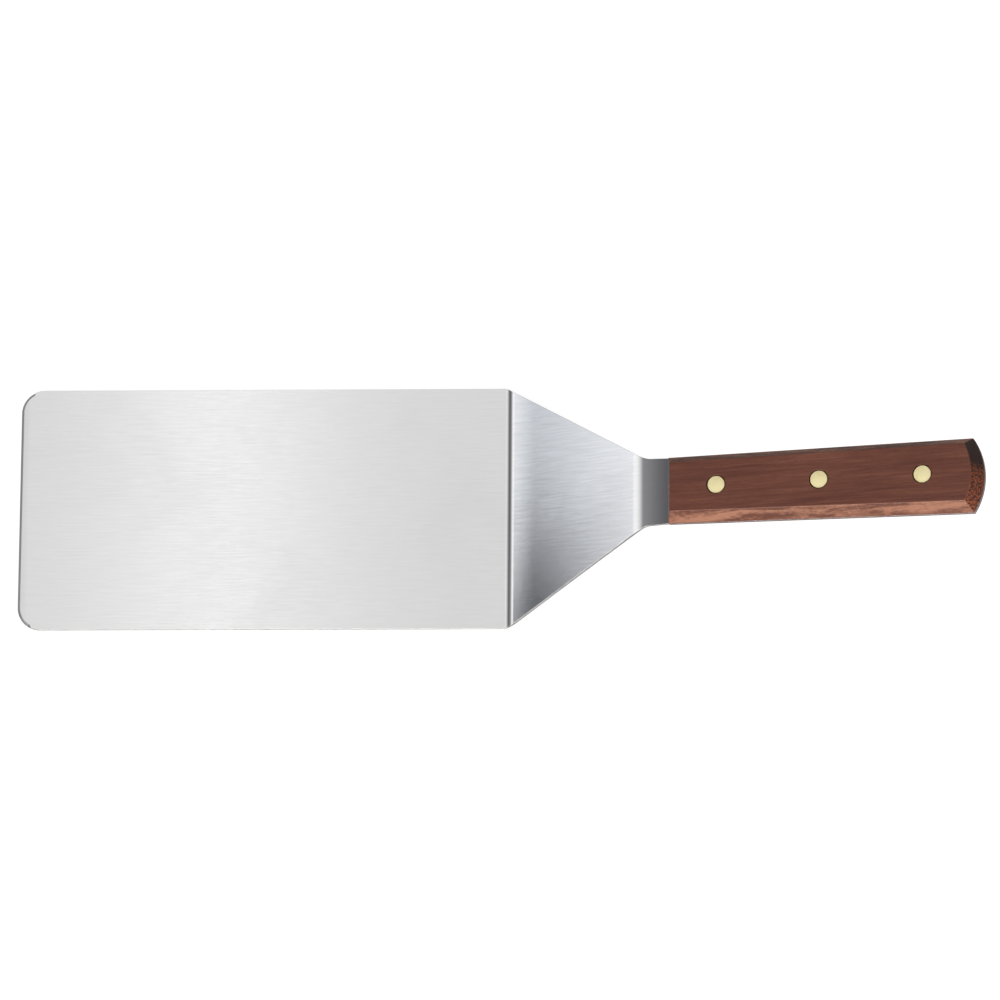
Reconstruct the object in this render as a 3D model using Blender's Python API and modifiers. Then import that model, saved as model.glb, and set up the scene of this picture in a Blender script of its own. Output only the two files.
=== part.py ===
"""Grill spatula with a bent steel blade, full tang, two wooden scales and three compression rivets.

Units are metres and +Z is up. The blade's flat underside rests on Z = 0 with its centre at the
origin. The handle points along +X and rises away from the blade.
"""

import math

import bmesh
import bpy

# Steel: one blank of sheet, cut to an outline and then bent along lines across it.
SHEET = 0.0015
BLADE_LENGTH = 0.2032
BLADE_WIDTH = 0.1016
TIP_RADIUS = 0.0095
GRIND_RUN = 0.0009
GRIND_DROP = 0.0008
TAPER_AHEAD = 0.00154
SHOULDER_TRIM = 0.0011
NECK_LENGTH = 0.06305
BEND_STEP_ANGLE = math.radians(3.5)
FEWEST_BEND_STEPS = 3

# Handle, measured along the tang from the second bend line.
THROAT_START = 0.0006
THROAT_HALF_WIDTH = 0.0140
THROAT_TRIM = 0.0020
SCALE_START = 0.0100
SCALE_START_HALF_WIDTH = 0.0137
BUTT_CORNER = 0.1368
BUTT_HALF_WIDTH = 0.01535
BUTT_END = 0.1413
BUTT_STEPS = 14
HANDLE_HALF_HEIGHT = 0.0089
SIDE_TOP = 0.00175
SIDE_BEVEL_RUN = 0.0035
BUTT_BEVEL_RUN = 0.0043
FRONT_SLOPE_RUN = 0.0025

# Compression rivets: a tubular socket half on top and a solid pin half pushed into it from below.
RIVET_PLACES = (0.0323, 0.0749, 0.1175)
RIVET_HEAD_RADIUS = 0.0036
RIVET_HEAD_HEIGHT = 0.0017
RIVET_EDGE = 0.00025
SOCKET_RADIUS = 0.0025
SOCKET_END = -0.0055
BORE_RADIUS = 0.0017
BORE_TOP = 0.0059
PIN_RADIUS = 0.0014
PIN_TOP = 0.0055
ROUND_STEPS = 32

# Clearance kept between pieces that bear on each other.
GAP = 0.0003

TIP = -BLADE_LENGTH / 2
NECK_LINE = BLADE_LENGTH / 2 + 0.00074
TANG_LINE = NECK_LINE + NECK_LENGTH
SEAT = SHEET / 2 + GAP

# The sheet's bends from the tip: the middle of each, the length of sheet in it and the angle it
# turns. The first and fourth are the creases, and the others are the slight bows beside them.
BENDS = (
    (NECK_LINE, 0.0040, math.radians(26.5)),
    (NECK_LINE + 0.0070, 0.0100, math.radians(1.9)),
    (NECK_LINE + 0.0339, 0.0438, math.radians(-1.6)),
    (TANG_LINE - 0.0026, 0.0050, math.radians(-11.1)),
    (TANG_LINE + 0.0052, 0.0094, math.radians(-3.85)),
)


def clear_scene():
    for obj in list(bpy.data.objects):
        bpy.data.objects.remove(obj, do_unlink=True)


def new_collection(name):
    collection = bpy.data.collections.new(name)
    bpy.context.scene.collection.children.link(collection)
    return collection


def new_material(name, colour, roughness, metallic=0.0):
    material = bpy.data.materials.new(name)
    material.use_nodes = True
    shader = material.node_tree.nodes["Principled BSDF"]
    shader.inputs["Base Color"].default_value = (*colour, 1.0)
    shader.inputs["Roughness"].default_value = roughness
    shader.inputs["Metallic"].default_value = metallic
    material.diffuse_color = (*colour, 1.0)
    return material


def add_object(name, bm, collection, material=None):
    """A new object holding the bmesh, which is freed."""
    mesh = bpy.data.meshes.new(name)
    bm.to_mesh(mesh)
    bm.free()
    obj = bpy.data.objects.new(name, mesh)
    if material:
        mesh.materials.append(material)
    collection.objects.link(obj)
    return obj


def bend_runs():
    """The sheet's stretches from the tip, as (flat length at the end, angle turned in the stretch)."""
    runs = []
    for middle, length, turn in BENDS:
        runs += [(middle - length / 2, 0.0), (middle + length / 2, turn)]
    return runs + [(math.inf, 0.0)]


def sheet_place(flat):
    """Where the middle of the bent sheet is at a flat length: (x, z, slope)."""
    x, z, slope, start = TIP, SHEET / 2, 0.0, TIP
    for end, turn in bend_runs():
        run = min(flat, end) - start
        if turn:
            radius = (end - start) / turn
            new_slope = slope + run / radius
            x += radius * (math.sin(new_slope) - math.sin(slope))
            z -= radius * (math.cos(new_slope) - math.cos(slope))
            slope = new_slope
        else:
            x += run * math.cos(slope)
            z += run * math.sin(slope)
        if flat <= end:
            return x, z, slope
        start = end


def butt_arc(offset, half_width):
    """The rounded butt's points from its +Y corner to its -Y corner, with X shifted by the offset."""
    rise = BUTT_END - BUTT_CORNER
    radius = (BUTT_HALF_WIDTH**2 + rise**2) / (2 * rise)
    reach = math.asin(half_width / radius)
    centre = BUTT_END - radius + offset
    angles = [reach * (1 - 2 * i / BUTT_STEPS) for i in range(BUTT_STEPS + 1)]
    return [(centre + radius * math.cos(a), radius * math.sin(a)) for a in angles]


def outline_face(bm, side_points, offset):
    """The flat blank's face, from the points of its +Y side, tip to butt, and the butt's arc."""
    mirrored = [(x, -y) for x, y in reversed(side_points)]
    outline = side_points + butt_arc(offset, BUTT_HALF_WIDTH) + mirrored
    return bm.faces.new([bm.verts.new((x, y, 0.0)) for x, y in outline])


def scale_loop(bm, height, side_run, butt_run):
    """A closed loop of edges round a scale at one height, drawn in from its full outline."""
    front = SCALE_START_HALF_WIDTH - side_run
    arc = butt_arc(-butt_run, BUTT_HALF_WIDTH - side_run)
    points = [(SCALE_START, front)] + arc + [(SCALE_START, -front)]
    verts = [bm.verts.new((x, y, height)) for x, y in points]
    return [bm.edges.new((verts[i - 1], verts[i])) for i in range(len(verts))]


def trim_corners(bm, x, offset, segments):
    corners = [v for v in bm.verts if abs(v.co.x - x) < 1e-6]
    bmesh.ops.bevel(
        bm, geom=corners, offset=offset, affect="VERTICES", segments=segments, profile=0.5
    )


def raise_face(bm, face, height):
    """Extrudes the face straight up."""
    made = bmesh.ops.extrude_face_region(bm, geom=[face])["geom"]
    top = next(item for item in made if isinstance(item, bmesh.types.BMFace))
    bmesh.ops.translate(bm, verts=top.verts, vec=(0.0, 0.0, height))


def slice_off(bm, place, normal):
    """Removes what lies past a plane on the side of its normal, and closes the cut."""
    everything = bm.verts[:] + bm.edges[:] + bm.faces[:]
    cut = bmesh.ops.bisect_plane(
        bm, geom=everything, dist=1e-7, plane_co=place, plane_no=normal, clear_outer=True
    )["geom_cut"]
    rim = [item for item in cut if isinstance(item, bmesh.types.BMEdge)]
    bmesh.ops.holes_fill(bm, edges=rim, sides=0)


def make_blade(parts, steel):
    bm = bmesh.new()
    sides = [
        (TIP, BLADE_WIDTH / 2),
        (NECK_LINE - TAPER_AHEAD, BLADE_WIDTH / 2),
        (TANG_LINE + THROAT_START, THROAT_HALF_WIDTH),
        (TANG_LINE + SCALE_START, SCALE_START_HALF_WIDTH),
    ]
    outline_face(bm, sides, TANG_LINE)
    trim_corners(bm, TIP, TIP_RADIUS, 12)
    trim_corners(bm, NECK_LINE - TAPER_AHEAD, SHOULDER_TRIM, 4)
    trim_corners(bm, TANG_LINE + THROAT_START, THROAT_TRIM, 5)
    bm.faces.ensure_lookup_table()
    raise_face(bm, bm.faces[0], SHEET)
    bmesh.ops.translate(bm, verts=bm.verts, vec=(0.0, 0.0, -SHEET / 2))
    bmesh.ops.recalc_face_normals(bm, faces=bm.faces)
    slice_off(bm, (TIP + GRIND_RUN, 0.0, SHEET / 2), (-GRIND_DROP, 0.0, GRIND_RUN))
    bend_sheet(bm)
    return add_object("blade", bm, parts, steel)


def bend_sheet(bm):
    """Cuts the flat blank across its bends, then lays every vertex on the bent sheet."""
    start = TIP
    for end, turn in bend_runs():
        steps = max(FEWEST_BEND_STEPS, math.ceil(abs(turn) / BEND_STEP_ANGLE))
        for i in range(steps + 1 if turn else 0):
            place = (start + (end - start) * i / steps, 0.0, 0.0)
            everything = bm.verts[:] + bm.edges[:] + bm.faces[:]
            bmesh.ops.bisect_plane(
                bm, geom=everything, dist=1e-7, plane_co=place, plane_no=(1.0, 0.0, 0.0)
            )
        start = end
    for vertex in bm.verts:
        x, z, slope = sheet_place(vertex.co.x)
        height = vertex.co.z
        vertex.co.x = x - height * math.sin(slope)
        vertex.co.z = z + height * math.cos(slope)


def make_handle_frame(parts):
    """An empty on the sheet's middle at the second bend line, with +X along the tang."""
    x, z, slope = sheet_place(TANG_LINE + SCALE_START)
    frame = bpy.data.objects.new("handle_frame", None)
    frame.location = (x - SCALE_START * math.cos(slope), 0.0, z - SCALE_START * math.sin(slope))
    frame.rotation_euler = (0.0, -slope, 0.0)
    parts.objects.link(frame)
    return frame


def make_scale(name, side, parts, frame, wood):
    """One wooden scale. Side is +1 for the upper one and -1 for the lower one."""
    bm = bmesh.new()
    seat = scale_loop(bm, SEAT, 0.0, 0.0)
    side_top = scale_loop(bm, SIDE_TOP, 0.0, 0.0)
    crown = scale_loop(bm, HANDLE_HALF_HEIGHT, SIDE_BEVEL_RUN, BUTT_BEVEL_RUN)
    bmesh.ops.bridge_loops(bm, edges=seat + side_top)
    bmesh.ops.bridge_loops(bm, edges=side_top + crown)
    bmesh.ops.holes_fill(bm, edges=seat + crown, sides=0)
    bmesh.ops.recalc_face_normals(bm, faces=bm.faces)
    rise = HANDLE_HALF_HEIGHT - SEAT
    slice_off(bm, (SCALE_START, 0.0, SEAT), (-rise, 0.0, FRONT_SLOPE_RUN))
    if side < 0:
        bmesh.ops.scale(bm, verts=bm.verts, vec=(1.0, 1.0, -1.0))
        bmesh.ops.reverse_faces(bm, faces=bm.faces)
    scale = add_object(name, bm, parts, wood)
    scale.parent = frame
    return scale


def turned(name, profile, place, collection, frame, material=None):
    """A solid of revolution from (radius, height) points that run down its outer side."""
    bm = bmesh.new()
    points = [bm.verts.new((radius, 0.0, height)) for radius, height in profile]
    for above, below in zip(points, points[1:]):
        bm.edges.new((above, below))
    obj = add_object(name, bm, collection, material)
    obj.location.x = place
    obj.parent = frame
    screw = obj.modifiers.new("turn", "SCREW")
    screw.steps = ROUND_STEPS
    screw.render_steps = ROUND_STEPS
    screw.use_merge_vertices = True
    screw.merge_threshold = 1e-5
    return obj


def head_points(face_height, side):
    """The flat head of a rivet half, from its outer face to its shoulder, seen on side +1 or -1."""
    outer = side * face_height
    shoulder = side * (face_height - RIVET_HEAD_HEIGHT)
    rim = side * (face_height - RIVET_EDGE)
    return [
        (0.0, outer),
        (RIVET_HEAD_RADIUS - RIVET_EDGE, outer),
        (RIVET_HEAD_RADIUS, rim),
        (RIVET_HEAD_RADIUS, shoulder),
    ]


def make_rivet(number, place, parts, frame, brass):
    shoulder = HANDLE_HALF_HEIGHT - RIVET_HEAD_HEIGHT
    socket = head_points(HANDLE_HALF_HEIGHT, 1) + [
        (SOCKET_RADIUS, shoulder),
        (SOCKET_RADIUS, SOCKET_END),
        (BORE_RADIUS, SOCKET_END),
        (BORE_RADIUS, BORE_TOP),
        (0.0, BORE_TOP),
    ]
    pin = [
        (0.0, PIN_TOP),
        (PIN_RADIUS - RIVET_EDGE, PIN_TOP),
        (PIN_RADIUS, PIN_TOP - RIVET_EDGE),
        (PIN_RADIUS, -shoulder),
    ] + head_points(HANDLE_HALF_HEIGHT, -1)[::-1]
    turned(f"rivet_socket_{number}", socket, place, parts, frame, brass)
    turned(f"rivet_pin_{number}", pin, place, parts, frame, brass)


def make_drill(number, place, cutters, frame):
    """Cutter for one rivet hole, with a counterbore for each head."""
    above = HANDLE_HALF_HEIGHT + 0.001
    floor = HANDLE_HALF_HEIGHT - RIVET_HEAD_HEIGHT - GAP
    head = RIVET_HEAD_RADIUS + GAP
    shank = SOCKET_RADIUS + GAP
    profile = [
        (0.0, above),
        (head, above),
        (head, floor),
        (shank, floor),
        (shank, -floor),
        (head, -floor),
        (head, -above),
        (0.0, -above),
    ]
    drill = turned(f"drill_{number}", profile, place, cutters, frame)
    drill.hide_render = True
    drill.display_type = "WIRE"


def cut_holes(obj, cutters):
    cut = obj.modifiers.new("rivet_holes", "BOOLEAN")
    cut.operation = "DIFFERENCE"
    cut.operand_type = "COLLECTION"
    cut.collection = cutters
    cut.solver = "EXACT"


def smooth_round_pieces(collection):
    for obj in collection.objects:
        if obj.name.startswith("rivet"):
            obj.data.shade_smooth()
            obj.data.set_sharp_from_angle(angle=math.radians(35))
            obj.modifiers["turn"].use_smooth_shade = True


def main():
    clear_scene()
    parts = new_collection("grill_spatula")
    cutters = new_collection("grill_spatula_cutters")
    steel = new_material("brushed_steel", (0.62, 0.62, 0.62), 0.35, 1.0)
    wood = new_material("rosewood", (0.13, 0.055, 0.040), 0.45)
    brass = new_material("brass", (0.83, 0.75, 0.42), 0.3, 1.0)

    blade = make_blade(parts, steel)
    frame = make_handle_frame(parts)
    upper = make_scale("upper_scale", 1, parts, frame, wood)
    lower = make_scale("lower_scale", -1, parts, frame, wood)
    for number, place in enumerate(RIVET_PLACES, start=1):
        make_rivet(number, place, parts, frame, brass)
        make_drill(number, place, cutters, frame)
    for piece in (blade, upper, lower):
        cut_holes(piece, cutters)
    smooth_round_pieces(parts)


main()
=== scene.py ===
"""Grill spatula with a brushed steel blank, rosewood scales and brass compression rivets.

Units are metres and +Z is up. The blade lies on Z = 0 with its centre at the origin, and the
handle rises towards +X.
"""

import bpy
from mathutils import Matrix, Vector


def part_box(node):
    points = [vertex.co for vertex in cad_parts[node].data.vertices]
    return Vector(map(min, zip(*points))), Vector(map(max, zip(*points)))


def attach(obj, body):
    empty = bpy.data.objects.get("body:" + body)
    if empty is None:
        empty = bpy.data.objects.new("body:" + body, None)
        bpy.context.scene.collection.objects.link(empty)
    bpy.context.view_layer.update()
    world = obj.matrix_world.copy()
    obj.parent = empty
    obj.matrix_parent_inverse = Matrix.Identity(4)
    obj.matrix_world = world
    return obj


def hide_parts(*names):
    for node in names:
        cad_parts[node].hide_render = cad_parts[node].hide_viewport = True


bl_info = {
    "name": "Grill Spatula",
    "version": (1, 0, 0),
    "blender": (4, 5, 0),
    "location": "View3D > Sidebar > Spatula",
    "description": "Builds a brushed steel grill spatula with a riveted rosewood handle",
    "category": "Add Mesh",
}

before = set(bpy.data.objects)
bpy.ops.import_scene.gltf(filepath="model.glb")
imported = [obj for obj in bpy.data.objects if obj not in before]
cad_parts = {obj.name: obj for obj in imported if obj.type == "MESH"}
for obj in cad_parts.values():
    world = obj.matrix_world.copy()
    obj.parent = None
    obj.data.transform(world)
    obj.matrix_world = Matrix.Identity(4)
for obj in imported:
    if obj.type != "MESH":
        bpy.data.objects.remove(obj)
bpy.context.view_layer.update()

import math

import bmesh
import bpy
from bpy.props import FloatProperty, FloatVectorProperty, PointerProperty
from mathutils import Matrix, Vector

BLADE_LOW, BLADE_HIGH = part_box("blade")
RIVETS = range(1, 4)

# Vertices this near a cut are taken to lie on it, and vertices this near each other to meet.
CUT_TOLERANCE = 1e-7
TOUCHING = 1e-6

# Edges between faces that turn more than this get rounded.
ROUNDED_ANGLE = math.radians(12)

# Steel: one blank of sheet, cut to an outline and then bent along lines across it. The sides start
# to taper a little ahead of the first bend line, and the shoulders and the throat are trimmed.
SHEET = 0.0015
TIP = BLADE_LOW.x
BLADE_HALF_WIDTH = BLADE_HIGH.y
TIP_RADIUS = 0.0095
TAPER_AHEAD = 0.00154
SHOULDER_TRIM = 0.0011
NECK_LINE = 0.00074 - TIP
TANG_LINE = NECK_LINE + 0.06305
BEND_STEP_ANGLE = math.radians(1.2)
FEWEST_BEND_STEPS = 8

# The front edge's ground bevel and how far back it reaches round the corners, then the worn strip
# behind it and how far its front has sunk.
GRIND_WIDTH = 0.0010
GRIND_REACH = 0.0055
GROUND_ANGLE = math.radians(60)
WORN_RUN = 0.0034
WORN_DROP = 0.00009
WORN_STEPS = 6

# The sheet's bends from the tip: the middle of each, the length of sheet in it and the angle it
# turns. The first and fourth are the creases, and the others are the slight bows beside them.
BENDS = (
    (NECK_LINE, 0.0040, math.radians(26.5)),
    (NECK_LINE + 0.0070, 0.0100, math.radians(1.9)),
    (NECK_LINE + 0.0339, 0.0438, math.radians(-1.6)),
    (TANG_LINE - 0.0026, 0.0050, math.radians(-11.1)),
    (TANG_LINE + 0.0052, 0.0094, math.radians(-3.85)),
)
TANG_ANGLE = sum(turn for _, _, turn in BENDS)

# Handle, measured along the tang from the second bend line.
THROAT_START = 0.0006
THROAT_HALF_WIDTH = 0.0140
THROAT_TRIM = 0.0020
SCALE_START = 0.0100
SCALE_START_HALF_WIDTH = 0.0137
BUTT_CORNER = 0.1368
BUTT_HALF_WIDTH = 0.01535
BUTT_END = 0.1413
BUTT_STEPS = 36
HANDLE_HALF_HEIGHT = 0.0089
SIDE_TOP = 0.00175
SIDE_BEVEL_RUN = 0.0035
BUTT_BEVEL_RUN = 0.0043
FRONT_SLOPE_RUN = 0.0025
SEAT = SHEET / 2 + 0.00005

# A face is a bevel where the up part of its normal is in this range, and an end where the part
# along the handle is past this size.
BEVEL_UP = (0.2, 0.8)
END_FACING = 0.45

# Painted shade across the ends, darker towards +Y: where in Y it is full, and where it has faded
# out.
END_SHADE_FULL = 0.0045
END_SHADE_CLEAR = 0.0015

# The fibres run a little across the handle.
FIBRE_TURN = math.radians(-1.5)

# The range that holds nearly all of a drawn grain's values, for two grains together and for one.
MIXED_SPREAD = (0.35, 0.65)
GRAIN_SPREAD = (0.30, 0.70)

# Compression rivets: a tubular socket half on top and a solid pin half pushed into it from below.
RIVET_HEAD_RADIUS = 0.0036
RIVET_HEAD_HEIGHT = 0.0017
RIM_ROUND = 0.00035
DOME_STEPS = 8
RIM_STEPS = 6
SOCKET_RADIUS = 0.0025
SOCKET_END = -0.0055
BORE_RADIUS = 0.0017
BORE_TOP = 0.0059
PIN_RADIUS = 0.0014
PIN_TOP = 0.0055
PIN_CHAMFER = 0.00025
HEAD_CLEARANCE = 0.00034
SHANK_CLEARANCE = 0.0003
HOLE_CHAMFER = 0.00012
ROUND_STEPS = 64

# Camera: far off with a long lens, leaning a little towards the near edge and the handle.
CAMERA_AIM = Vector((0.0979, 0.0038, 0.0))
CAMERA_DISTANCE = 2.7273
CAMERA_TILT = (math.radians(12.64), math.radians(2.587), math.radians(0.36))
CAMERA_LENS = 237.15

# The studio's light by how far a direction leans from overhead towards -X, in degrees.
STUDIO_LEANS = (
    (-30, (0.22, 0.22, 0.22)),
    (-18, (0.91, 0.91, 0.91)),
    (3.9, (0.91, 0.91, 0.91)),
    (4.4, (0.99, 0.99, 0.99)),
    (4.8, (1.24, 1.24, 1.24)),
    (5.1, (1.52, 1.52, 1.52)),
    (5.5, (1.20, 1.20, 1.20)),
    (6.1, (1.00, 1.00, 1.00)),
    (6.8, (0.91, 0.91, 0.91)),
    (8.5, (0.92, 0.92, 0.92)),
    (11, (0.88, 0.88, 0.88)),
    (14, (0.62, 0.62, 0.62)),
    (17, (0.46, 0.46, 0.47)),
    (20, (0.32, 0.32, 0.33)),
    (22.5, (0.15, 0.15, 0.155)),
    (25, (0.125, 0.125, 0.13)),
    (29, (0.21, 0.21, 0.22)),
    (32.8, (0.31, 0.31, 0.32)),
    (34.7, (0.34, 0.34, 0.35)),
    (36.7, (0.46, 0.46, 0.47)),
    (38.6, (0.66, 0.66, 0.67)),
    (40.5, (0.86, 0.86, 0.87)),
    (43, (1.06, 1.06, 1.07)),
    (47, (1.22, 1.22, 1.23)),
    (51, (1.28, 1.29, 1.32)),
    (54, (1.22, 1.24, 1.29)),
    (55.5, (1.14, 1.16, 1.21)),
    (57.3, (0.96, 0.99, 1.05)),
    (59.2, (0.84, 0.87, 0.93)),
    (62, (0.65, 0.67, 0.72)),
    (67, (0.42, 0.44, 0.47)),
    (98, (0.70, 0.71, 0.73)),
)

# Softboxes at both sides: the light's level towards +Y and -Y, and where in the Y part of a
# direction it takes over from the lean. All the light falls off towards the horizon, from the
# height at which it is full.
SIDE_LIGHT = 1.0
SIDE_MIDDLE = 0.22
SIDE_START = 0.30
SIDE_END = 0.55
HORIZON_LIGHT = 0.38
FULL_HEIGHT = 0.5

# Black flag that the lower corner of the neck mirrors: the point that it faces, the way to its
# edge from there, and how far its edge is turned from upright and reaches past that way.
FLAG_AIM = Vector((0.108, 0.0, 0.003))
FLAG_WAY = Vector((-0.83, 0.20, 0.53))
FLAG_DISTANCE = 1.8
FLAG_EDGE_TURN = math.radians(24)
FLAG_EDGE_REACH = -0.005
FLAG_HALF_SIZE = 0.40

# Key light from the near side: its place, the point that it faces, its size and its colour.
KEY_PLACE = (0.30, -1.8, 0.40)
KEY_AIM = (0.20, 0.0, 0.05)
KEY_SIZE = (1.4, 0.6)
KEY_COLOUR = (1.0, 0.95, 0.88)

# The floor lies just under the blade, and glows for the camera alone.
FLOOR_HALF_SIZE = 6.0
FLOOR_DROP = 0.0002
FLOOR_GLOW = 0.82


class SteelSettings(bpy.types.PropertyGroup):
    """Finish of the steel blank."""

    colour: FloatVectorProperty(
        name="Steel",
        description="Colour that the clean steel reflects",
        subtype="COLOR",
        size=3,
        min=0.0,
        max=1.0,
        default=(0.73, 0.73, 0.73),
    )
    roughness: FloatProperty(
        name="Roughness",
        description="Mean roughness of the brushed faces",
        subtype="FACTOR",
        min=0.0,
        max=1.0,
        default=0.10,
    )
    edge_round: FloatProperty(
        name="Edge Rounding",
        description="Radius of the tumbled edges of the sheet",
        unit="LENGTH",
        min=0.00005,
        max=0.0006,
        default=0.00035,
    )


class WoodSettings(bpy.types.PropertyGroup):
    """Finish of the two scales."""

    dark: FloatVectorProperty(
        name="Dark Fibres",
        description="Colour of the darkest fibres",
        subtype="COLOR",
        size=3,
        min=0.0,
        max=1.0,
        default=(0.072, 0.021, 0.0125),
    )
    middle: FloatVectorProperty(
        name="Wood",
        description="Colour of most of the wood",
        subtype="COLOR",
        size=3,
        min=0.0,
        max=1.0,
        default=(0.128, 0.039, 0.0225),
    )
    light: FloatVectorProperty(
        name="Light Fibres",
        description="Colour of the palest fibres",
        subtype="COLOR",
        size=3,
        min=0.0,
        max=1.0,
        default=(0.196, 0.069, 0.041),
    )
    cut_dark: FloatVectorProperty(
        name="Dark Bevel",
        description="Darkest colour of the bevels, which cut across the fibres",
        subtype="COLOR",
        size=3,
        min=0.0,
        max=1.0,
        default=(0.080, 0.023, 0.012),
    )
    # Partly painted light: the bevels are painted paler than the flat to stand in for the stronger
    # light on the near bevel, and mottled for their cut fibres.
    bevel_pale_and_lit: FloatVectorProperty(
        name="Light Bevel",
        description="Palest colour of the bevels, which cut across the fibres",
        subtype="COLOR",
        size=3,
        min=0.0,
        max=1.0,
        default=(0.250, 0.110, 0.068),
    )
    end_light: FloatVectorProperty(
        name="End Grain",
        description="Palest colour of the ends, which soak up more oil",
        subtype="COLOR",
        size=3,
        min=0.0,
        max=1.0,
        default=(0.260, 0.066, 0.026),
    )
    # Also the colour of the painted shade on the +Y half of the ends, as well as of their dark
    # specks.
    end_dark: FloatVectorProperty(
        name="Dark End Grain And Shade",
        description="Darkest colour of the ends, where the oil has pooled",
        subtype="COLOR",
        size=3,
        min=0.0,
        max=1.0,
        default=(0.030, 0.014, 0.011),
    )
    edge_round: FloatProperty(
        name="Edge Rounding",
        description="Radius of the sanded edges between the faces of a scale",
        unit="LENGTH",
        min=0.0001,
        max=0.001,
        default=0.0004,
    )


class BrassSettings(bpy.types.PropertyGroup):
    """Finish and shape of the rivets."""

    colour: FloatVectorProperty(
        name="Brass",
        description="Colour that the brass reflects",
        subtype="COLOR",
        size=3,
        min=0.0,
        max=1.0,
        default=(0.90, 0.80, 0.455),
    )
    roughness: FloatProperty(
        name="Roughness",
        description="Mean roughness of the sanded heads",
        subtype="FACTOR",
        min=0.0,
        max=1.0,
        default=0.50,
    )
    dome: FloatProperty(
        name="Dome Height",
        description="How far the middle of a head stands above its rim",
        unit="LENGTH",
        min=0.0,
        max=0.0005,
        default=0.00024,
    )


class StageSettings(bpy.types.PropertyGroup):
    """Floor and light."""

    floor: FloatVectorProperty(
        name="Floor",
        description="Colour of the floor",
        subtype="COLOR",
        size=3,
        min=0.0,
        max=1.0,
        default=(0.32, 0.32, 0.32),
    )
    light: FloatProperty(
        name="Studio Light",
        description="Strength of the light all round",
        min=0.0,
        max=10.0,
        default=1.0,
    )
    key: FloatProperty(
        name="Key Light",
        description="Strength of the soft light from the near side, in watts",
        min=0.0,
        max=200.0,
        default=50.0,
    )


# ---------------------------------------------------------------------------- node helpers


def new_group(name, inputs, outputs):
    """An empty shader group with (label, type, default) inputs and (label, type) outputs."""
    group = bpy.data.node_groups.new(name, "ShaderNodeTree")
    for label, kind, default in inputs:
        socket = group.interface.new_socket(label, in_out="INPUT", socket_type=kind)
        if default is not None:
            socket.default_value = default
    for label, kind in outputs:
        group.interface.new_socket(label, in_out="OUTPUT", socket_type=kind)
    return group, group.nodes.new("NodeGroupInput"), group.nodes.new("NodeGroupOutput")


def join(tree, source, target):
    tree.links.new(source, target)


def add_node(tree, kind, **settings):
    node = tree.nodes.new(kind)
    for name, value in settings.items():
        setattr(node, name, value)
    return node


def math_node(tree, operation, first, second=0.5):
    """A Math node's output. Each operand is a socket or a number."""
    node = add_node(tree, "ShaderNodeMath", operation=operation)
    for socket, value in zip(node.inputs, (first, second)):
        if isinstance(value, bpy.types.NodeSocket):
            join(tree, value, socket)
        else:
            socket.default_value = value
    return node.outputs["Value"]


def weighted_sum(tree, first, weight, second, other_weight):
    return math_node(tree, "ADD", math_node(tree, "MULTIPLY", first, weight),
                     math_node(tree, "MULTIPLY", second, other_weight))


def remap(tree, value, low, high, to_low=0.0, to_high=1.0):
    """The value carried over from one range to another, and held at the range's ends."""
    node = add_node(tree, "ShaderNodeMapRange")
    join(tree, value, node.inputs["Value"])
    for label, number in (
        ("From Min", low),
        ("From Max", high),
        ("To Min", to_low),
        ("To Max", to_high),
    ):
        node.inputs[label].default_value = number
    return node.outputs["Result"]


def mix_colours(tree, factor, first, second, blend="MIX"):
    """A Mix node's colour. Factor and colours are sockets, or a number and RGB values."""
    node = add_node(tree, "ShaderNodeMix", data_type="RGBA", blend_type=blend)
    for index, value in ((0, factor), (6, first), (7, second)):
        if isinstance(value, bpy.types.NodeSocket):
            join(tree, value, node.inputs[index])
        elif index:
            node.inputs[index].default_value = (*value, 1.0)
        else:
            node.inputs[index].default_value = value
    return node.outputs[2]


def colour_ramp(tree, value, stops):
    """A Color Ramp's colour from (position, RGB) stops in rising order."""
    node = add_node(tree, "ShaderNodeValToRGB")
    elements = node.color_ramp.elements
    while len(elements) < len(stops):
        elements.new(1.0)
    for element, (position, colour) in zip(elements, stops):
        element.position = position
        element.color = (*colour, 1.0)
    join(tree, value, node.inputs["Fac"])
    return node.outputs["Color"]


def grain_group():
    """Noise drawn out along X, for brush lines, wood fibres and sanding marks."""
    group, inputs, outputs = new_group(
        "Drawn Grain",
        (
            ("Vector", "NodeSocketVector", None),
            ("Along", "NodeSocketFloat", 30.0),
            ("Across", "NodeSocketFloat", 900.0),
            ("Detail", "NodeSocketFloat", 3.0),
            ("Wander", "NodeSocketFloat", 0.0),
        ),
        (("Value", "NodeSocketFloat"),),
    )
    stretch = add_node(group, "ShaderNodeCombineXYZ")
    join(group, inputs.outputs["Along"], stretch.inputs["X"])
    join(group, inputs.outputs["Across"], stretch.inputs["Y"])
    join(group, inputs.outputs["Across"], stretch.inputs["Z"])
    scaled = add_node(group, "ShaderNodeVectorMath", operation="MULTIPLY")
    join(group, inputs.outputs["Vector"], scaled.inputs[0])
    join(group, stretch.outputs["Vector"], scaled.inputs[1])
    noise = add_node(group, "ShaderNodeTexNoise")
    noise.inputs["Scale"].default_value = 1.0
    noise.inputs["Roughness"].default_value = 0.6
    join(group, scaled.outputs["Vector"], noise.inputs["Vector"])
    join(group, inputs.outputs["Detail"], noise.inputs["Detail"])
    join(group, inputs.outputs["Wander"], noise.inputs["Distortion"])
    join(group, noise.outputs["Fac"], outputs.inputs["Value"])
    return group


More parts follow.
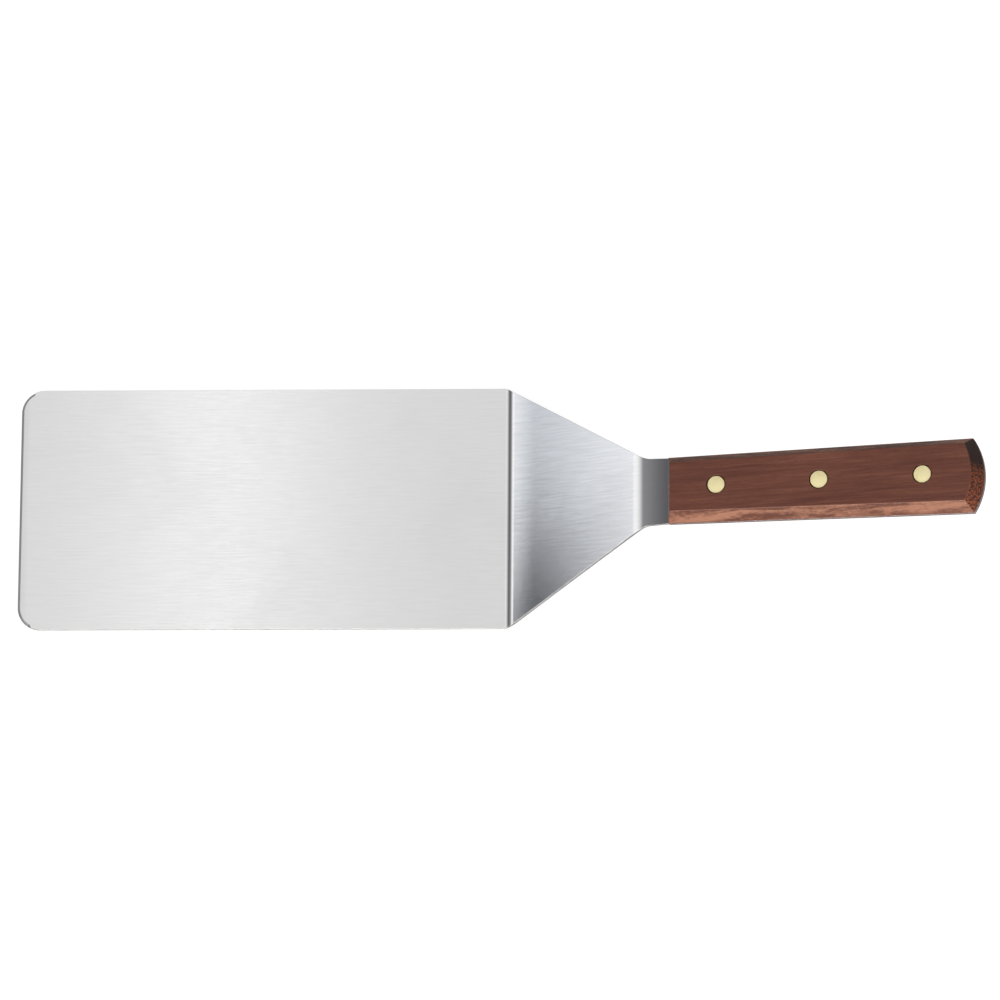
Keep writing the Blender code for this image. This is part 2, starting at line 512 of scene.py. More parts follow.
def smear_group():
    """Faint smears from wiping and handling, from 0 where clean to 1."""
    group, inputs, outputs = new_group(
        "Handling Smears",
        (("Vector", "NodeSocketVector", None), ("Size", "NodeSocketFloat", 0.03)),
        (("Mask", "NodeSocketFloat"),),
    )
    scale = math_node(group, "DIVIDE", 1.0, inputs.outputs["Size"])
    noise = add_node(group, "ShaderNodeTexNoise")
    noise.inputs["Detail"].default_value = 4.0
    noise.inputs["Distortion"].default_value = 0.8
    join(group, inputs.outputs["Vector"], noise.inputs["Vector"])
    join(group, scale, noise.inputs["Scale"])
    join(group, remap(group, noise.outputs["Fac"], 0.48, 0.72), outputs.inputs["Mask"])
    return group


def place_group(tree, group, vector, **values):
    """A group's first output in the tree, with its vector joined and its other inputs set."""
    node = add_node(tree, "ShaderNodeGroup", node_tree=group)
    join(tree, vector, node.inputs["Vector"])
    for label, value in values.items():
        node.inputs[label].default_value = value
    return node.outputs[0]


def shared_group(name, build):
    return bpy.data.node_groups.get(name) or build()


def new_material(name, metallic):
    material = bpy.data.materials.new(name)
    material.use_nodes = True
    shader = material.node_tree.nodes["Principled BSDF"]
    shader.inputs["Metallic"].default_value = metallic
    return material, material.node_tree, shader


def add_bump(tree, shader, height, strength, distance):
    bump = add_node(tree, "ShaderNodeBump")
    bump.inputs["Strength"].default_value = strength
    bump.inputs["Distance"].default_value = distance
    join(tree, height, bump.inputs["Height"])
    join(tree, bump.outputs["Normal"], shader.inputs["Normal"])


def mesh_mask(tree, name):
    """A mask that the mesh holds, 1 on the faces that its name says and 0 elsewhere."""
    return add_node(tree, "ShaderNodeAttribute", attribute_name=name).outputs["Fac"]


# ---------------------------------------------------------------------------- materials


def steel_material(settings):
    """Sheet brushed along its length: the lines follow the sheet round its bends."""
    material, tree, shader = new_material("brushed_steel", 1.0)
    grain = shared_group("Drawn Grain", grain_group)
    smears = shared_group("Handling Smears", smear_group)
    sheet = add_node(tree, "ShaderNodeUVMap", uv_map="sheet").outputs["UV"]
    lines = place_group(tree, grain, sheet, Along=70.0, Across=1500.0, Detail=4.0)
    hairs = place_group(tree, grain, sheet, Along=120.0, Across=9000.0, Detail=2.0)
    smear = place_group(tree, smears, sheet, Size=0.05)

    streaks = weighted_sum(tree, lines, 0.6, hairs, 0.4)
    tone = remap(tree, streaks, *MIXED_SPREAD, 0.965, 1.025)
    clouded = math_node(tree, "SUBTRACT", tone, math_node(tree, "MULTIPLY", smear, 0.035))
    brushed = mix_colours(tree, 1.0, tuple(settings.colour), clouded, blend="MULTIPLY")
    join(tree, brushed, shader.inputs["Base Color"])

    rough = settings.roughness
    streaked = remap(tree, streaks, *MIXED_SPREAD, rough + 0.02, rough - 0.02)
    wiped = math_node(tree, "ADD", streaked, math_node(tree, "MULTIPLY", smear, 0.02))
    tumbled = math_node(tree, "MULTIPLY", mesh_mask(tree, "edge"), 0.30)
    edged = math_node(tree, "ADD", wiped, tumbled)
    join(tree, edged, shader.inputs["Roughness"])
    shader.inputs["Anisotropic"].default_value = 0.88
    shader.inputs["Anisotropic Rotation"].default_value = 0.25
    tangent = add_node(tree, "ShaderNodeTangent", direction_type="UV_MAP", uv_map="sheet")
    join(tree, tangent.outputs["Tangent"], shader.inputs["Tangent"])
    add_bump(tree, shader, streaks, strength=0.25, distance=0.00002)
    return material


def wood_material(settings):
    """Oiled rosewood with its fibres along the handle and open pores."""
    material, tree, shader = new_material("rosewood", 0.0)
    shader.inputs["Specular IOR Level"].default_value = 0.35
    grain = shared_group("Drawn Grain", grain_group)
    smears = shared_group("Handling Smears", smear_group)
    coordinates = add_node(tree, "ShaderNodeTexCoord").outputs["Object"]
    turn = add_node(tree, "ShaderNodeMapping")
    turn.inputs["Rotation"].default_value = (0.0, TANG_ANGLE, FIBRE_TURN)
    join(tree, coordinates, turn.inputs["Vector"])
    along = turn.outputs["Vector"]

    figure = place_group(tree, grain, along, Along=14.0, Across=150.0, Detail=3.0, Wander=0.6)
    fibres = place_group(tree, grain, along, Along=45.0, Across=1100.0, Detail=4.0, Wander=0.3)
    pores = place_group(tree, grain, along, Along=260.0, Across=4200.0, Detail=1.0)
    tone = weighted_sum(tree, figure, 0.5, fibres, 0.5)
    wood = colour_ramp(
        tree,
        remap(tree, tone, *GRAIN_SPREAD),
        ((0.0, settings.dark), (0.5, settings.middle), (1.0, settings.light)),
    )
    patches = place_group(tree, grain, along, Along=28.0, Across=90.0, Detail=3.0, Wander=1.2)
    flecks = place_group(tree, grain, along, Along=420.0, Across=900.0, Detail=3.0, Wander=0.8)
    mottle = weighted_sum(tree, patches, 0.7, flecks, 0.3)
    # Bevel colour: the mottle of the cut fibres, painted paler than the flat as a stand-in for the
    # stronger light on the near bevel.
    cut = colour_ramp(
        tree,
        remap(tree, mottle, 0.43, 0.57),
        ((0.0, settings.cut_dark), (1.0, settings.bevel_pale_and_lit)),
    )
    stipple = place_group(tree, grain, along, Along=900.0, Across=1300.0)
    specks = remap(tree, stipple, 0.46, 0.58)
    place = add_node(tree, "ShaderNodeSeparateXYZ")
    join(tree, coordinates, place.inputs["Vector"])
    # Painted shade: the ends darken towards +Y, the half that faces away from the key light.
    out_of_end_shade = remap(tree, place.outputs["Y"], END_SHADE_FULL, END_SHADE_CLEAR)
    ends = colour_ramp(
        tree,
        math_node(tree, "MULTIPLY", specks, out_of_end_shade),
        ((0.0, settings.end_dark), (1.0, settings.end_light)),
    )
    sides = mix_colours(tree, mesh_mask(tree, "bevel"), wood, cut)
    faces = mix_colours(tree, mesh_mask(tree, "end_grain"), sides, ends)
    pore = remap(tree, pores, 0.56, 0.68)
    pored = mix_colours(tree, math_node(tree, "MULTIPLY", pore, 0.45), faces, settings.dark)
    # Edges lightened: partly rubbing wear, partly a painted highlight along the arrises and mitre
    # lines.
    rubbed_and_highlit = mix_colours(
        tree, math_node(tree, "MULTIPLY", mesh_mask(tree, "edge"), 0.30), pored, settings.light
    )
    join(tree, rubbed_and_highlit, shader.inputs["Base Color"])

    smear = place_group(tree, smears, along, Size=0.025)
    satin = remap(tree, fibres, *GRAIN_SPREAD, 0.36, 0.48)
    wiped = math_node(tree, "SUBTRACT", satin, math_node(tree, "MULTIPLY", smear, 0.05))
    rough = math_node(tree, "ADD", wiped, math_node(tree, "MULTIPLY", pore, 0.25))
    join(tree, rough, shader.inputs["Roughness"])
    height = math_node(tree, "SUBTRACT", math_node(tree, "MULTIPLY", fibres, 0.5), pore)
    add_bump(tree, shader, height, strength=0.35, distance=0.00006)
    return material


def brass_material(settings):
    """Pale brass, sanded level with the wood."""
    material, tree, shader = new_material("brass", 0.45)
    grain = shared_group("Drawn Grain", grain_group)
    smears = shared_group("Handling Smears", smear_group)
    coordinates = add_node(tree, "ShaderNodeTexCoord").outputs["Object"]
    sanding = place_group(tree, grain, coordinates, Along=500.0, Across=7000.0, Detail=3.0)
    tarnish = place_group(tree, smears, coordinates, Size=0.004)
    deep = tuple(channel * share for channel, share in zip(settings.colour, (0.86, 0.80, 0.66)))
    dulled = math_node(tree, "MULTIPLY", tarnish, 0.5)
    brass = mix_colours(tree, dulled, tuple(settings.colour), deep)
    join(tree, brass, shader.inputs["Base Color"])
    rough = settings.roughness
    sanded = remap(tree, sanding, *GRAIN_SPREAD, rough - 0.07, rough + 0.07)
    join(tree, sanded, shader.inputs["Roughness"])
    add_bump(tree, shader, sanding, strength=0.6, distance=0.00004)
    return material


# ---------------------------------------------------------------------------- the bent sheet


def bend_runs():
    """The sheet's stretches from the tip, as (flat length at the end, angle turned in it)."""
    runs = []
    for middle, length, turn in BENDS:
        runs += [(middle - length / 2, 0.0), (middle + length / 2, turn)]
    return runs + [(math.inf, 0.0)]


def sheet_place(flat):
    """Where the middle of the bent sheet is at a flat length: (x, z, slope)."""
    x, z, slope, start = TIP, SHEET / 2, 0.0, TIP
    for end, turn in bend_runs():
        run = min(flat, end) - start
        if turn:
            radius = (end - start) / turn
            new_slope = slope + run / radius
            x += radius * (math.sin(new_slope) - math.sin(slope))
            z -= radius * (math.cos(new_slope) - math.cos(slope))
            slope = new_slope
        else:
            x += run * math.cos(slope)
            z += run * math.sin(slope)
        if flat <= end:
            return x, z, slope
        start = end


def handle_matrix():
    """The handle's frame: on the sheet's middle at the second bend line, with +X along the tang."""
    x, z, slope = sheet_place(TANG_LINE + SCALE_START)
    place = (x - SCALE_START * math.cos(slope), 0.0, z - SCALE_START * math.sin(slope))
    return Matrix.Translation(place) @ Matrix.Rotation(-slope, 4, "Y")


def rivet_places():
    """Each rivet's distance along the tang, from the frame's own rivets."""
    to_handle = handle_matrix().inverted()
    places = []
    for number in RIVETS:
        low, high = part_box(f"rivet_socket_{number}")
        places.append((to_handle @ ((low + high) / 2)).x)
    return places


def butt_arc(offset, half_width):
    """The rounded butt's points from its +Y corner to its -Y one, with X shifted by the offset."""
    rise = BUTT_END - BUTT_CORNER
    radius = (BUTT_HALF_WIDTH**2 + rise**2) / (2 * rise)
    reach = math.asin(half_width / radius)
    centre = BUTT_END - radius + offset
    angles = [reach * (1 - 2 * i / BUTT_STEPS) for i in range(BUTT_STEPS + 1)]
    return [(centre + radius * math.cos(a), radius * math.sin(a)) for a in angles]


# ---------------------------------------------------------------------------- mesh helpers


def ring(bm, radius, x, height):
    """The edges of a circle across the handle's up direction, in their order round it."""
    made = bmesh.ops.create_circle(
        bm,
        cap_ends=False,
        radius=radius,
        segments=ROUND_STEPS,
        matrix=Matrix.Translation((x, 0.0, height)),
    )["verts"]
    return [bm.edges.get((made[i - 1], made[i])) for i in range(ROUND_STEPS)]


def add_band(bm, loop, next_loop):
    """The faces between two closed loops of edges that run the same way round."""
    for edge, far in zip(loop, next_loop):
        bm.faces.new((*edge.verts, far.verts[1], far.verts[0]))


def trim_corners(bm, x, offset, segments):
    """Rounds the flat blank's corners at one X, by an offset along their edges."""
    corners = [v for v in bm.verts if abs(v.co.x - x) < TOUCHING]
    bmesh.ops.bevel(
        bm, geom=corners, offset=offset, affect="VERTICES", segments=segments, profile=0.5,
        material=-1,
    )


def cut_across(bm, x):
    """Cuts the mesh's faces along a plane across the tool at one X."""
    everything = bm.verts[:] + bm.edges[:] + bm.faces[:]
    bmesh.ops.bisect_plane(
        bm, geom=everything, dist=CUT_TOLERANCE, plane_co=(x, 0.0, 0.0), plane_no=(1.0, 0.0, 0.0)
    )


def slice_off(bm, place, normal):
    """Removes what lies past a plane on the side of its normal, and closes the cut."""
    everything = bm.verts[:] + bm.edges[:] + bm.faces[:]
    cut = bmesh.ops.bisect_plane(
        bm, geom=everything, dist=CUT_TOLERANCE, plane_co=place, plane_no=normal, clear_outer=True
    )["geom_cut"]
    rim = [item for item in cut if isinstance(item, bmesh.types.BMEdge)]
    bmesh.ops.holes_fill(bm, edges=rim, sides=0)


def round_edges(bm, edges, radius, segments):
    """Rounds the edges and marks the new faces in the mesh's edge mask."""
    rounded = bmesh.ops.bevel(
        bm, geom=edges, offset=radius, offset_type="OFFSET", affect="EDGES",
        segments=segments, profile=0.5, clamp_overlap=True, material=-1,
    )["faces"]
    mask = bm.loops.layers.float.get("edge") or bm.loops.layers.float.new("edge")
    for face in rounded:
        for loop in face.loops:
            loop[mask] = 1.0


def mark_faces(bm, layer_name, chosen):
    """A mask on the mesh that is 1 on the chosen faces and 0 elsewhere."""
    mask = bm.loops.layers.float.new(layer_name)
    for face in bm.faces:
        if chosen(face):
            for loop in face.loops:
                loop[mask] = 1.0


def sharp_edges(bm, angle):
    """The edges whose two faces turn by more than the angle."""
    return [e for e in bm.edges if len(e.link_faces) == 2 and e.calc_face_angle() > angle]


def add_object(name, bm, material):
    """A new object in the scene that holds the mesh and its material."""
    mesh = bpy.data.meshes.new(name)
    bm.to_mesh(mesh)
    bm.free()
    mesh.materials.append(material)
    holder = bpy.data.objects.new(name, mesh)
    bpy.context.scene.collection.objects.link(holder)
    return holder


def finish_piece(name, bm, material, slot, *nodes):
    """The finished object: shaded smooth with flat faces kept flat, in place of its CAD nodes."""
    piece = add_object(name, bm, material)
    piece.data.shade_smooth()
    flat = piece.modifiers.new("flat_faces_stay_flat", "WEIGHTED_NORMAL")
    flat.mode = "FACE_AREA"
    flat.keep_sharp = True
    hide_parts(*nodes)
    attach(piece, "root")
    return piece


# ---------------------------------------------------------------------------- pieces


def blank_face(bm):
    """The flat blank as faces round its three rivet holes."""
    side = [
        (TIP, BLADE_HALF_WIDTH),
        (NECK_LINE - TAPER_AHEAD, BLADE_HALF_WIDTH),
        (TANG_LINE + THROAT_START, THROAT_HALF_WIDTH),
        (TANG_LINE + SCALE_START, SCALE_START_HALF_WIDTH),
    ]
    other_side = [(x, -y) for x, y in reversed(side)]
    outline = side + butt_arc(TANG_LINE, BUTT_HALF_WIDTH) + other_side
    bm.faces.new([bm.verts.new((x, y, 0.0)) for x, y in outline])
    trim_corners(bm, TIP, TIP_RADIUS, segments=24)
    trim_corners(bm, NECK_LINE - TAPER_AHEAD, SHOULDER_TRIM, segments=6)
    trim_corners(bm, TANG_LINE + THROAT_START, THROAT_TRIM, segments=8)
    bmesh.ops.delete(bm, geom=bm.faces[:], context="FACES_ONLY")
    for place in rivet_places():
        ring(bm, SOCKET_RADIUS + SHANK_CLEARANCE, TANG_LINE + place, 0.0)
    bmesh.ops.triangle_fill(bm, edges=bm.edges[:], use_beauty=True, normal=(0.0, 0.0, 1.0))
    bmesh.ops.dissolve_limit(bm, angle_limit=1e-3, verts=[], edges=bm.edges[:], delimit=set())


def lay_out_sheet(bm):
    """UVs in metres over the flat blank, so that a pattern follows the sheet round its bends."""
    uv = bm.loops.layers.uv.new("sheet")
    for face in bm.faces:
        for loop in face.loops:
            x, y, height = loop.vert.co
            loop[uv].uv = (x + height / 3, y + height)


def bend_sheet(bm):
    """Cuts the flat blank across its bends, then lays every vertex on the bent sheet."""
    start = TIP
    for end, turn in bend_runs():
        steps = max(FEWEST_BEND_STEPS, math.ceil(abs(turn) / BEND_STEP_ANGLE))
        for i in range(steps + 1 if turn else 0):
            cut_across(bm, start + (end - start) * i / steps)
        start = end
    for vertex in bm.verts:
        x, z, slope = sheet_place(vertex.co.x)
        height = vertex.co.z
        vertex.co.x = x - height * math.sin(slope)
        vertex.co.z = z + height * math.cos(slope)


def grind_front(bm):
    """The bevel ground along the top of the front edge and round both corners."""
    front = [
        edge
        for edge in sharp_edges(bm, GROUND_ANGLE)
        if min(v.co.z for v in edge.verts) > 0.0
        and max(v.co.x for v in edge.verts) < TIP + GRIND_REACH
    ]
    bmesh.ops.bevel(
        bm, geom=front, offset=GRIND_WIDTH, offset_type="OFFSET", affect="EDGES",
        segments=1, profile=0.5, clamp_overlap=False, material=-1,
    )


def wear_front(bm):
    """Lets the blade's top sink a little towards the front edge, as use wears it."""
    for i in range(1, WORN_STEPS + 1):
        cut_across(bm, TIP + WORN_RUN * i / WORN_STEPS)
    for vertex in bm.verts:
        reach = (TIP + WORN_RUN - vertex.co.x) / WORN_RUN
        if reach > 0.0 and vertex.co.z > 0.0:
            vertex.co.z -= WORN_DROP * reach**2


def make_blade(settings):
    """The steel blank: raised from its outline, ground and rounded while flat, and then bent."""
    bm = bmesh.new()
    blank_face(bm)
    raised = bmesh.ops.extrude_face_region(bm, geom=bm.faces[:])["geom"]
    tops = [item for item in raised if isinstance(item, bmesh.types.BMVert)]
    bmesh.ops.translate(bm, verts=tops, vec=(0.0, 0.0, SHEET))
    bmesh.ops.translate(bm, verts=bm.verts, vec=(0.0, 0.0, -SHEET / 2))
    bmesh.ops.recalc_face_normals(bm, faces=bm.faces)
    grind_front(bm)
    rims = [
        edge
        for edge in sharp_edges(bm, ROUNDED_ANGLE)
        if abs(edge.verts[0].co.z - edge.verts[1].co.z) < TOUCHING
    ]
    round_edges(bm, rims, settings.edge_round, segments=3)
    bmesh.ops.dissolve_degenerate(bm, dist=CUT_TOLERANCE, edges=bm.edges[:])
    wear_front(bm)
    lay_out_sheet(bm)
    bend_sheet(bm)
    return finish_piece("bent_blade", bm, steel_material(settings), "steel", "blade")


def scale_loop(bm, height, side_run, butt_run):
    """A closed loop of edges round a scale at one height, drawn in from its full outline."""
    front = SCALE_START_HALF_WIDTH - side_run
    arc = butt_arc(-butt_run, BUTT_HALF_WIDTH - side_run)
    points = [(SCALE_START, front)] + arc + [(SCALE_START, -front)]
    verts = [bm.verts.new((x, y, height)) for x, y in points]
    return [bm.edges.new((verts[i - 1], verts[i])) for i in range(len(verts))]


def counterbore(bm, place):
    """The wall of one rivet hole. Returns the edges of its mouth and of its lower end."""
    floor = HANDLE_HALF_HEIGHT - RIVET_HEAD_HEIGHT - SHANK_CLEARANCE
    head = RIVET_HEAD_RADIUS + HEAD_CLEARANCE
    shank = SOCKET_RADIUS + SHANK_CLEARANCE
    rings = [
        ring(bm, radius, place, height)
        for radius, height in (
            (head + HOLE_CHAMFER, HANDLE_HALF_HEIGHT),
            (head, HANDLE_HALF_HEIGHT - HOLE_CHAMFER),
            (head, floor),
            (shank, floor),
            (shank, SEAT),
        )
    ]
    for above, below in zip(rings, rings[1:]):
        add_band(bm, above, below)
    return rings[0], rings[-1]


def make_scale(name, node, side, settings, wood):
    """One wooden scale. Side is +1 for the upper one and -1 for the lower one."""
    bm = bmesh.new()
    seat = scale_loop(bm, SEAT, 0.0, 0.0)
    side_top = scale_loop(bm, SIDE_TOP, 0.0, 0.0)
    crown = scale_loop(bm, HANDLE_HALF_HEIGHT, SIDE_BEVEL_RUN, BUTT_BEVEL_RUN)
    add_band(bm, seat, side_top)
    add_band(bm, side_top, crown)
    places = rivet_places()
    holes = [counterbore(bm, place) for place in places]
    for rim, ends in ((crown, 0), (seat, 1)):
        edges = rim + [edge for hole in holes for edge in hole[ends]]
        bmesh.ops.triangle_fill(bm, edges=edges, use_beauty=True, normal=(0.0, 0.0, 1.0))
    bmesh.ops.recalc_face_normals(bm, faces=bm.faces)
    rise = HANDLE_HALF_HEIGHT - SEAT
    slice_off(bm, (SCALE_START, 0.0, SEAT), (-rise, 0.0, FRONT_SLOPE_RUN))
    hole_reach = RIVET_HEAD_RADIUS + HEAD_CLEARANCE + 2 * HOLE_CHAMFER
    outer = [
        edge
        for edge in sharp_edges(bm, ROUNDED_ANGLE)
        if max(v.co.z for v in edge.verts) > SEAT + TOUCHING
        and not any(
            math.hypot(v.co.x - place, v.co.y) < hole_reach
            for place in places
            for v in edge.verts
        )
    ]
    round_edges(bm, outer, settings.edge_round, segments=4)
    mark_faces(
        bm,
        "bevel",
        lambda face: face.calc_center_median().z > SIDE_TOP
        and BEVEL_UP[0] < face.normal.z < BEVEL_UP[1],
    )
    mark_faces(bm, "end_grain", lambda face: abs(face.normal.x) > END_FACING)
    if side < 0:
        bmesh.ops.scale(bm, verts=bm.verts, vec=(1.0, 1.0, -1.0))
        bmesh.ops.reverse_faces(bm, faces=bm.faces)
    bm.transform(handle_matrix())
    return finish_piece(name, bm, wood, "wood", node)


def head_profile(dome):
    """A rivet head's outline from the middle of its face to its shoulder, with a rounded rim."""
    face_radius = RIVET_HEAD_RADIUS - RIM_ROUND
    shares = [i / DOME_STEPS for i in range(DOME_STEPS + 1)]
    points = [(face_radius * share, HANDLE_HALF_HEIGHT - dome * share**2) for share in shares]
    rim_height = HANDLE_HALF_HEIGHT - dome - RIM_ROUND
    for i in range(1, RIM_STEPS + 1):
        angle = math.radians(90 - 90 * i / RIM_STEPS)
        points.append(
            (face_radius + RIM_ROUND * math.cos(angle), rim_height + RIM_ROUND * math.sin(angle))
        )
    return points + [(RIVET_HEAD_RADIUS, HANDLE_HALF_HEIGHT - RIVET_HEAD_HEIGHT)]


def turned_piece(name, node, profile, place, brass):
    """A solid of revolution from (radius, height) points, at its place along the handle."""
    bm = bmesh.new()
    points = [bm.verts.new((place + radius, 0.0, height)) for radius, height in profile]
    for above, below in zip(points, points[1:]):
        bm.edges.new((above, below))
    bmesh.ops.spin(
        bm,
        geom=bm.verts[:] + bm.edges[:],
        cent=(place, 0.0, 0.0),
        axis=(0.0, 0.0, 1.0),
        angle=math.tau,
        steps=ROUND_STEPS,
        use_merge=True,
    )
    bmesh.ops.remove_doubles(bm, verts=bm.verts, dist=TOUCHING)
    bmesh.ops.recalc_face_normals(bm, faces=bm.faces)
    bm.transform(handle_matrix())
    return finish_piece(name, bm, brass, "rivet", node)


def make_rivet(number, place, settings, brass):
    """Both halves of one rivet, whose heads are alike."""
    head = head_profile(settings.dome)
    socket = head + [
        (SOCKET_RADIUS, HANDLE_HALF_HEIGHT - RIVET_HEAD_HEIGHT),
        (SOCKET_RADIUS, SOCKET_END),
        (BORE_RADIUS, SOCKET_END),
        (BORE_RADIUS, BORE_TOP),
        (0.0, BORE_TOP),
    ]
    pin = [
        (0.0, PIN_TOP),
        (PIN_RADIUS - PIN_CHAMFER, PIN_TOP),
        (PIN_RADIUS, PIN_TOP - PIN_CHAMFER),
        (PIN_RADIUS, RIVET_HEAD_HEIGHT - HANDLE_HALF_HEIGHT),
    ] + [(radius, -height) for radius, height in reversed(head)]
    turned_piece(f"brass_socket_{number}", f"rivet_socket_{number}", socket, place, brass)
    turned_piece(f"brass_pin_{number}", f"rivet_pin_{number}", pin, place, brass)


# ---------------------------------------------------------------------------- stage


def make_world(settings):
    """Soft light all round that changes with how far a direction leans towards -X."""
    world = bpy.data.worlds.new("studio")
    world.use_nodes = True
    tree = world.node_tree
    background = tree.nodes["Background"]
    direction = add_node(tree, "ShaderNodeTexCoord").outputs["Generated"]
    parts = add_node(tree, "ShaderNodeSeparateXYZ")
    join(tree, direction, parts.inputs["Vector"])
    away = math_node(tree, "MULTIPLY", parts.outputs["X"], -1.0)
    lean = math_node(tree, "ARCTAN2", away, parts.outputs["Z"])
    first, last = STUDIO_LEANS[0][0], STUDIO_LEANS[-1][0]
    share = remap(tree, lean, math.radians(first), math.radians(last), 0.0, 1.0)
    stops = [((angle - first) / (last - first), colour) for angle, colour in STUDIO_LEANS]
    leaning = colour_ramp(tree, share, stops)
    sideways = math_node(tree, "SUBTRACT", parts.outputs["Y"], SIDE_MIDDLE)
    side = math_node(tree, "ABSOLUTE", sideways)
    side_share = remap(tree, side, SIDE_START, SIDE_END, 0.0, 1.0)
    soft = mix_colours(tree, side_share, leaning, (SIDE_LIGHT,) * 3)
    level = remap(tree, parts.outputs["Z"], 0.0, FULL_HEIGHT, HORIZON_LIGHT, 1.0)
    light = mix_colours(tree, 1.0, soft, level, blend="MULTIPLY")
    seen = add_node(tree, "ShaderNodeLightPath").outputs["Is Camera Ray"]
    join(tree, mix_colours(tree, seen, light, (1.0, 1.0, 1.0)), background.inputs["Color"])
    background.inputs["Strength"].default_value = settings.light
    bpy.context.scene.world = world


def make_floor(settings):
    """Pale floor that the camera sees as nearly white, with faint shadows."""
    bm = bmesh.new()
    bmesh.ops.create_grid(bm, x_segments=1, y_segments=1, size=FLOOR_HALF_SIZE)
    bmesh.ops.translate(bm, verts=bm.verts, vec=(0.0, 0.0, -FLOOR_DROP))
    material, tree, shader = new_material("floor", 0.0)
    shader.inputs["Base Color"].default_value = (*settings.floor, 1.0)
    shader.inputs["Roughness"].default_value = 0.9
    shader.inputs["Specular IOR Level"].default_value = 0.0
    shader.inputs["Emission Color"].default_value = (1.0, 1.0, 1.0, 1.0)
    seen = add_node(tree, "ShaderNodeLightPath").outputs["Is Camera Ray"]
    glow = math_node(tree, "MULTIPLY", seen, FLOOR_GLOW)
    join(tree, glow, shader.inputs["Emission Strength"])
    floor = add_object("floor", bm, material)


def make_key(power):
    """One large soft light from the near side."""
    light = bpy.data.lights.new("key", "AREA")
    light.shape = "RECTANGLE"
    light.size, light.size_y = KEY_SIZE
    light.energy = power
    light.color = KEY_COLOUR
    lamp = bpy.data.objects.new("key", light)
    lamp.location = KEY_PLACE
    back = Vector(KEY_PLACE) - Vector(KEY_AIM)
    lamp.rotation_euler = back.to_track_quat("Z", "Y").to_euler()
    lamp.visible_camera = False
    bpy.context.scene.collection.objects.link(lamp)


def make_flag():
    """A black square, turned in its own plane, which only mirrors see."""
    bm = bmesh.new()
    bmesh.ops.create_grid(bm, x_segments=1, y_segments=1, size=FLAG_HALF_SIZE)
    up = FLAG_WAY.cross(Vector((0.0, 1.0, 0.0))).normalized()
    if up.z < 0.0:
        up.negate()
    side = up.cross(FLAG_WAY).normalized()
    if side.y < 0.0:
        side.negate()
    edge_way = math.cos(FLAG_EDGE_TURN) * side + math.sin(FLAG_EDGE_TURN) * up
    facing = FLAG_WAY.normalized()
    turn = Matrix((edge_way, facing.cross(edge_way), facing)).transposed().to_4x4()
    edge = FLAG_AIM + FLAG_DISTANCE * facing + FLAG_EDGE_REACH * edge_way
    bm.transform(Matrix.Translation(edge - FLAG_HALF_SIZE * edge_way) @ turn)
    material, _, shader = new_material("black_flag", 0.0)
    shader.inputs["Base Color"].default_value = (0.0, 0.0, 0.0, 1.0)
    shader.inputs["Specular IOR Level"].default_value = 0.0
    flag = add_object("flag", bm, material)
    flag.visible_camera = False
    flag.visible_diffuse = False
    flag.visible_shadow = False


def make_camera():
    """A long lens, backed off from the point that it faces."""
    camera = bpy.data.cameras.new("camera")
    camera.lens = CAMERA_LENS
    camera.clip_end = 50.0
    seat = bpy.data.objects.new("camera", camera)
    seat.rotation_euler = CAMERA_TILT
    back = seat.rotation_euler.to_matrix() @ Vector((0.0, 0.0, 1.0))
    seat.location = CAMERA_AIM + CAMERA_DISTANCE * back
    bpy.context.scene.collection.objects.link(seat)
    bpy.context.scene.camera = seat


# ---------------------------------------------------------------------------- add-on


class SPATULA_OT_blade(bpy.types.Operator):
    """Build the bent steel blank: blade, neck and tang in one piece"""

    bl_idname = "spatula.blade"
    bl_label = "Build Blade"

    def execute(self, context):
        make_blade(context.scene.spatula_steel)
        return {"FINISHED"}


class SPATULA_OT_scales(bpy.types.Operator):
    """Build the two wooden scales of the handle"""

    bl_idname = "spatula.scales"
    bl_label = "Build Scales"

    def execute(self, context):
        settings = context.scene.spatula_wood
        wood = wood_material(settings)
        make_scale("rosewood_upper", "upper_scale", 1, settings, wood)
        make_scale("rosewood_lower", "lower_scale", -1, settings, wood)
        return {"FINISHED"}


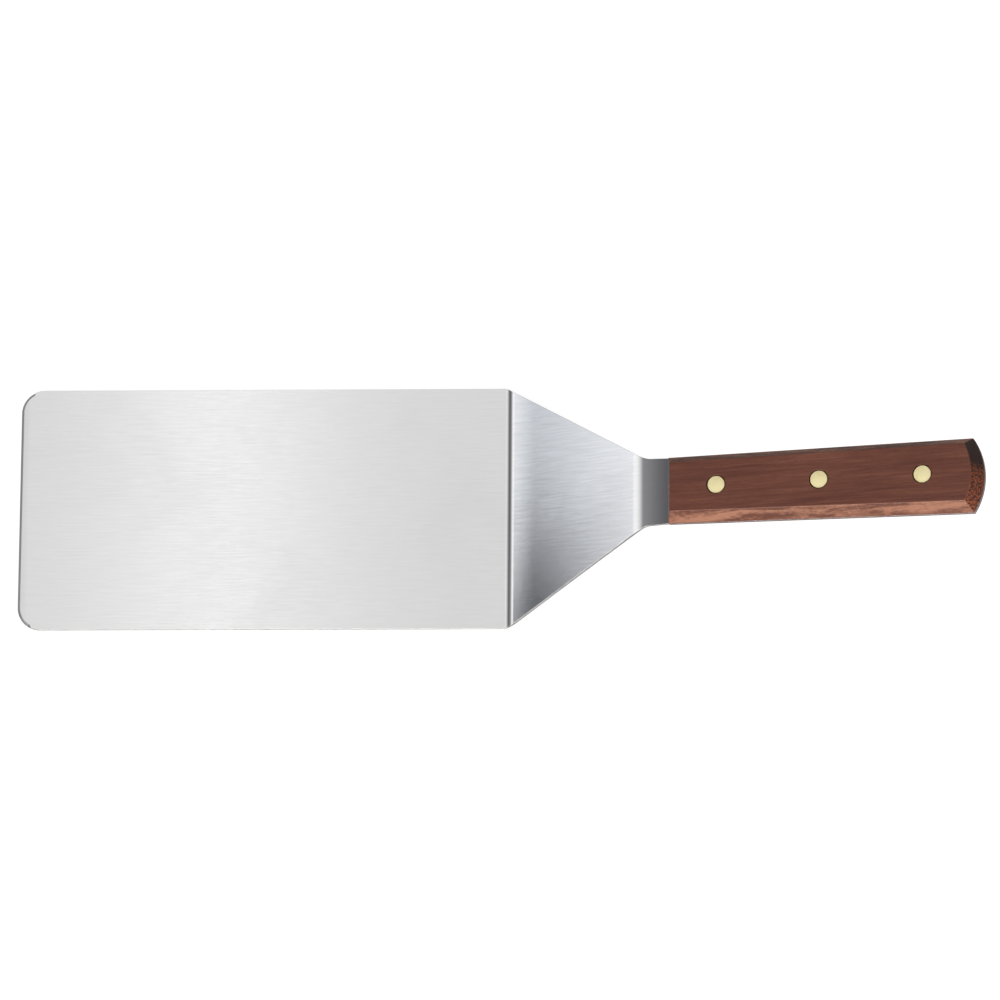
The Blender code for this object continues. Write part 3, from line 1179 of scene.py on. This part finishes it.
class SPATULA_OT_rivets(bpy.types.Operator):
    """Build the socket and pin halves of the three rivets"""

    bl_idname = "spatula.rivets"
    bl_label = "Build Rivets"

    def execute(self, context):
        settings = context.scene.spatula_brass
        brass = brass_material(settings)
        for number, place in zip(RIVETS, rivet_places()):
            make_rivet(number, place, settings, brass)
        return {"FINISHED"}


class SPATULA_OT_stage(bpy.types.Operator):
    """Set up the floor, the studio light and the camera"""

    bl_idname = "spatula.stage"
    bl_label = "Set Up Stage"

    def execute(self, context):
        settings = context.scene.spatula_stage
        make_world(settings)
        make_floor(settings)
        make_flag()
        make_key(settings.key)
        make_camera()
        context.scene.view_settings.view_transform = "Standard"
        return {"FINISHED"}


class SPATULA_PT_panel(bpy.types.Panel):
    """Buttons and settings for the spatula"""

    bl_label = "Grill Spatula"
    bl_idname = "SPATULA_PT_panel"
    bl_space_type = "VIEW_3D"
    bl_region_type = "UI"
    bl_category = "Spatula"

    def draw(self, context):
        for operator, settings in SECTIONS:
            box = self.layout.box()
            box.operator(operator.bl_idname)
            group = getattr(context.scene, settings)
            for name in group.bl_rna.properties.keys():
                if name not in ("name", "rna_type"):
                    box.prop(group, name)


SECTIONS = (
    (SPATULA_OT_blade, "spatula_steel"),
    (SPATULA_OT_scales, "spatula_wood"),
    (SPATULA_OT_rivets, "spatula_brass"),
    (SPATULA_OT_stage, "spatula_stage"),
)
SETTINGS = {
    "spatula_steel": SteelSettings,
    "spatula_wood": WoodSettings,
    "spatula_brass": BrassSettings,
    "spatula_stage": StageSettings,
}


def register():
    for name, group in SETTINGS.items():
        bpy.utils.register_class(group)
        setattr(bpy.types.Scene, name, PointerProperty(type=group))
    for operator, _ in SECTIONS:
        bpy.utils.register_class(operator)
    bpy.utils.register_class(SPATULA_PT_panel)


def unregister():
    bpy.utils.unregister_class(SPATULA_PT_panel)
    for operator, _ in reversed(SECTIONS):
        bpy.utils.unregister_class(operator)
    for name, group in reversed(SETTINGS.items()):
        delattr(bpy.types.Scene, name)
        bpy.utils.unregister_class(group)


def main():
    register()
    bpy.ops.spatula.blade()
    bpy.ops.spatula.scales()
    bpy.ops.spatula.rivets()
    bpy.ops.spatula.stage()


if __name__ == "__main__":
    main()
